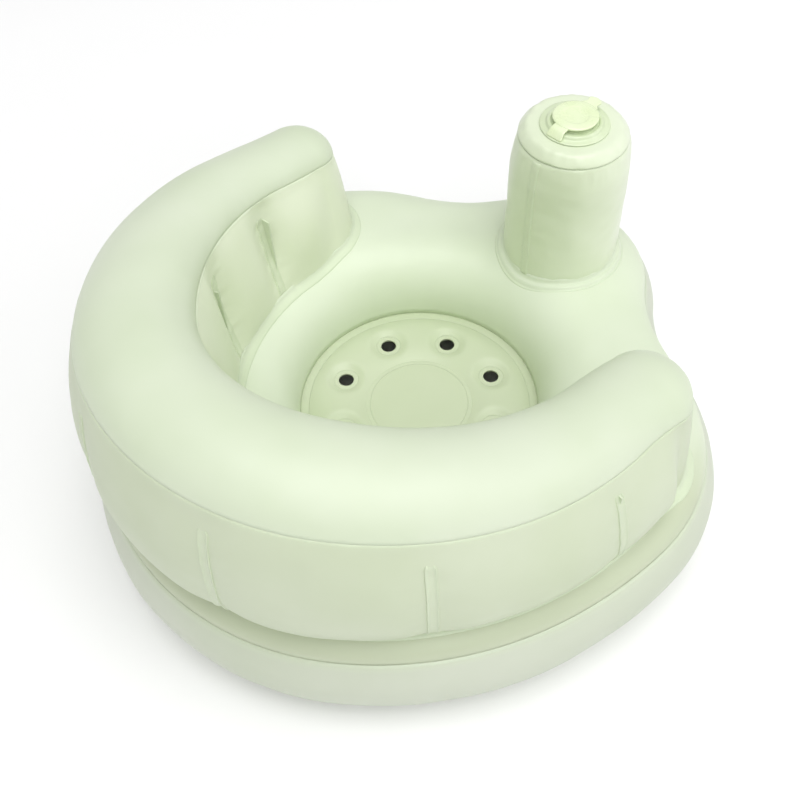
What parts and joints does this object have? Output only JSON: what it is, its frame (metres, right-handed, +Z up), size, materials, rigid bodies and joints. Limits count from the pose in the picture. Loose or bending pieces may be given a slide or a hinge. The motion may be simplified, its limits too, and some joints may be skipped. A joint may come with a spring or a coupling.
{
  "type": "inflatable baby seat",
  "caption": "Inflatable baby floor seat: round air base with a quilted seat floor, horseshoe backrest with a domed rim, and a pump post between the legs with a capped valve",
  "frame": {"origin": "on the floor, in the middle of the part's footprint, 8.5 mm behind the centre of the round seat floor", "axes": "+X across the seat, +Y towards the backrest, +Z up; the post is at -Y"},
  "size_m": [0.5136, 0.5486, 0.2693],
  "materials": {
    "base_film": "satin sage-green vinyl film",
    "backrest_film": "matt pale pistachio vinyl film",
    "post_film": "semi-gloss sage-green vinyl film",
    "foam": "open-cell foam",
    "valve_plastic": "soft moulded vinyl",
    "cap_plastic": "soft moulded vinyl, yellow-green"
  },
  "bodies": {
    "seat": {"base_top_panel": "base_film", "base_side_band": "base_film", "base_bottom_panel": "base_film", "seat_floor_upper_skin": "base_film", "seat_floor_lower_skin": "base_film", "backrest_outer_wall": "backrest_film", "backrest_inner_wall": "backrest_film", "backrest_top_panel": "backrest_film", "backrest_webs": "backrest_film", "arm_end_lap_seams": "backrest_film", "post_sleeve": "post_film", "post_lap_seam": "post_film", "pump_foam": "foam", "inlet_valve_body": "valve_plastic", "deflation_valve_body": "valve_plastic"},
    "pump_head": {"post_top_panel": "post_film", "pump_valve_flange": "valve_plastic"},
    "valve_cap": {"pump_valve_cap": "cap_plastic"},
    "inlet_flap": {"inlet_valve_flap": "valve_plastic"},
    "deflation_plug": {"deflation_valve_plug": "valve_plastic"}
  },
  "joints": [
    {"name": "pump_press", "type": "slide", "parent": "seat", "child": "pump_head", "axis": [0, 0, -1], "range_m": [0, 0.07], "stiffness_N_per_m": 300, "deforming": ["post_sleeve", "post_lap_seam", "pump_foam"]},
    {"name": "valve_cap_hinge", "type": "hinge", "parent": "pump_head", "child": "valve_cap", "pos_m": [0, -0.1653, 0.2423], "axis": [-1, 0, 0], "range_deg": [0, 135]},
    {"name": "inlet_flap_hinge", "type": "hinge", "parent": "seat", "child": "inlet_flap", "pos_m": [0, -0.1806, 0.0957], "axis": [1, 0, 0], "range_deg": [0, 35], "stiffness_Nm_per_rad": 0.003, "springref_deg": -5.73},
    {"name": "deflation_plug_hinge", "type": "hinge", "parent": "seat", "child": "deflation_plug", "pos_m": [0, -0.2735, 0.038], "axis": [1, 0, 0], "range_deg": [0, 140]}
  ]
}
